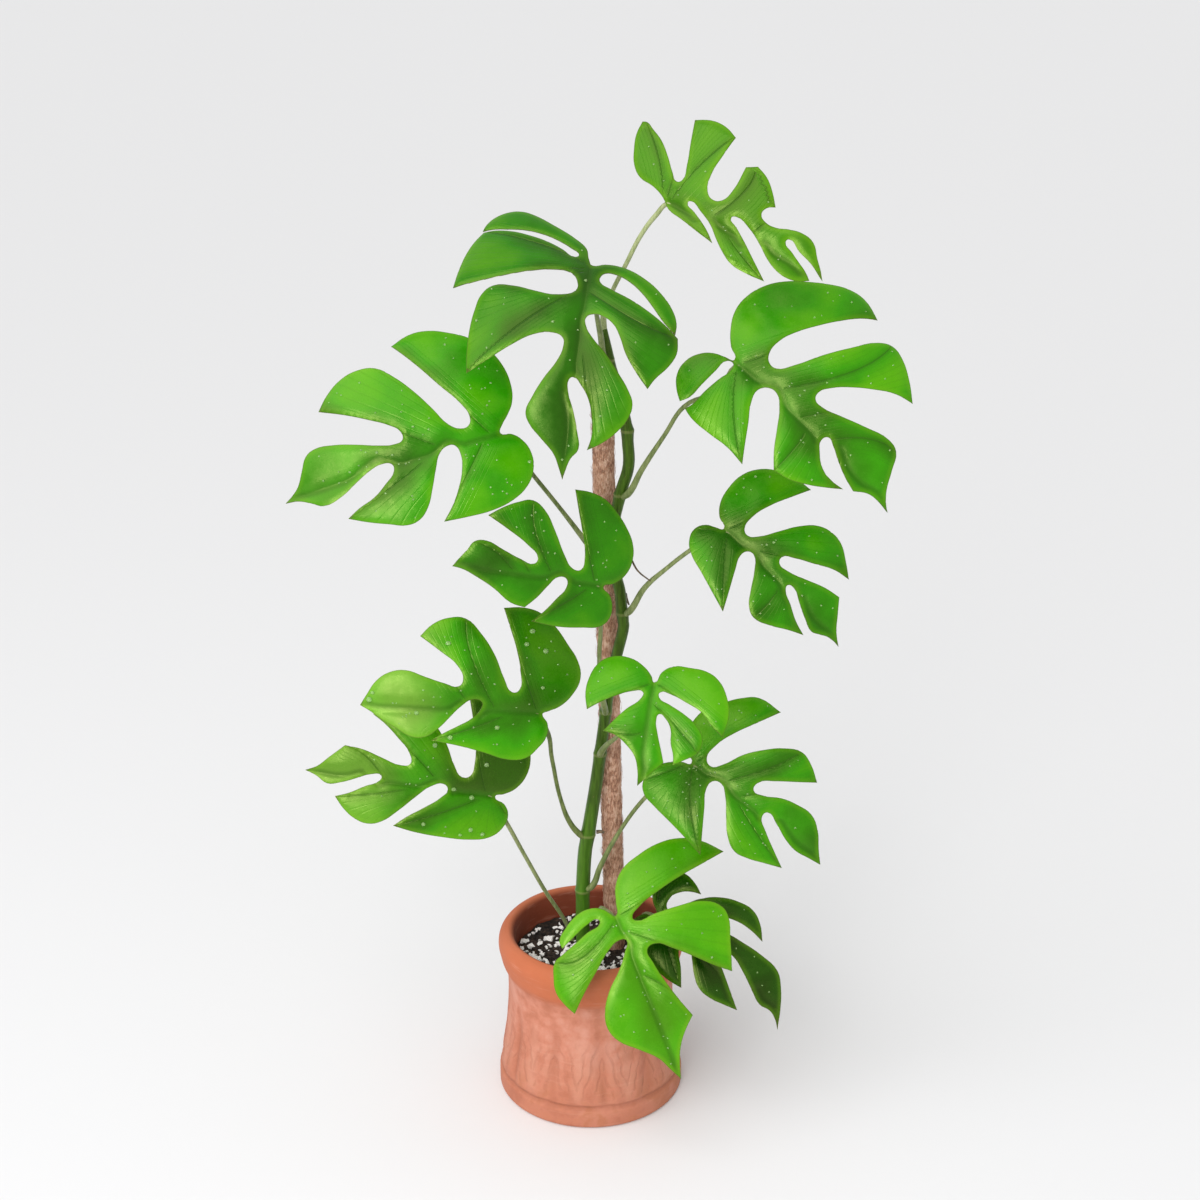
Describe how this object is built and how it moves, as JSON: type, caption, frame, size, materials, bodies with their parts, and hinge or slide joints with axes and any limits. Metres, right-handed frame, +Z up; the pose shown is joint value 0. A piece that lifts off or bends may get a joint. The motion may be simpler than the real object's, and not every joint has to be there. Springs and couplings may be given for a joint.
{
  "type": "potted split-leaf climbing plant",
  "caption": "Potted climbing aroid with deeply split leaves on long stalks, its vine standing in front of an upright fibre pole in a round clay pot.",
  "frame": {"origin": "middle of the underside of the pot's foot, on the surface it stands on", "axes": "+Z up along the pot's axis, -Y towards the front, +X to the right seen from the front"},
  "size_m": [0.435, 0.208, 0.7637],
  "materials": {
    "pot": "unglazed, matt",
    "soil": "crumbly, matt",
    "fibre_pole": "rough fibre",
    "pole_stake": "plain",
    "vine_stem": "smooth, half gloss",
    "leaf_01": "smooth, half gloss",
    "leaf_02": "smooth, half gloss",
    "leaf_03": "smooth, half gloss",
    "leaf_04": "smooth, half gloss",
    "leaf_05": "smooth, half gloss",
    "leaf_06": "smooth, half gloss",
    "leaf_07": "smooth, half gloss",
    "leaf_08": "smooth, half gloss",
    "leaf_09": "smooth, half gloss",
    "leaf_10": "smooth, half gloss",
    "leaf_11": "smooth, half gloss",
    "leaf_12": "smooth, half gloss",
    "petiole_01": "smooth",
    "petiole_02": "smooth",
    "petiole_03": "smooth",
    "petiole_04": "smooth",
    "petiole_05": "smooth",
    "petiole_06": "smooth",
    "petiole_07": "smooth",
    "petiole_08": "smooth",
    "petiole_09": "smooth",
    "petiole_10": "smooth",
    "petiole_11": "smooth",
    "petiole_12": "smooth",
    "aerial_root_01": "dry",
    "aerial_root_02": "dry",
    "aerial_root_03": "dry"
  },
  "bodies": {
    "root": {"pot": "pot", "soil": "soil", "fibre_pole": "fibre_pole", "pole_stake": "pole_stake", "vine_stem": "vine_stem", "leaf_01": "leaf_01", "leaf_02": "leaf_02", "leaf_03": "leaf_03", "leaf_04": "leaf_04", "leaf_05": "leaf_05", "leaf_06": "leaf_06", "leaf_07": "leaf_07", "leaf_08": "leaf_08", "leaf_09": "leaf_09", "leaf_10": "leaf_10", "leaf_11": "leaf_11", "leaf_12": "leaf_12", "petiole_01": "petiole_01", "petiole_02": "petiole_02", "petiole_03": "petiole_03", "petiole_04": "petiole_04", "petiole_05": "petiole_05", "petiole_06": "petiole_06", "petiole_07": "petiole_07", "petiole_08": "petiole_08", "petiole_09": "petiole_09", "petiole_10": "petiole_10", "petiole_11": "petiole_11", "petiole_12": "petiole_12", "aerial_root_01": "aerial_root_01", "aerial_root_02": "aerial_root_02", "aerial_root_03": "aerial_root_03"}
  },
  "joints": []
}
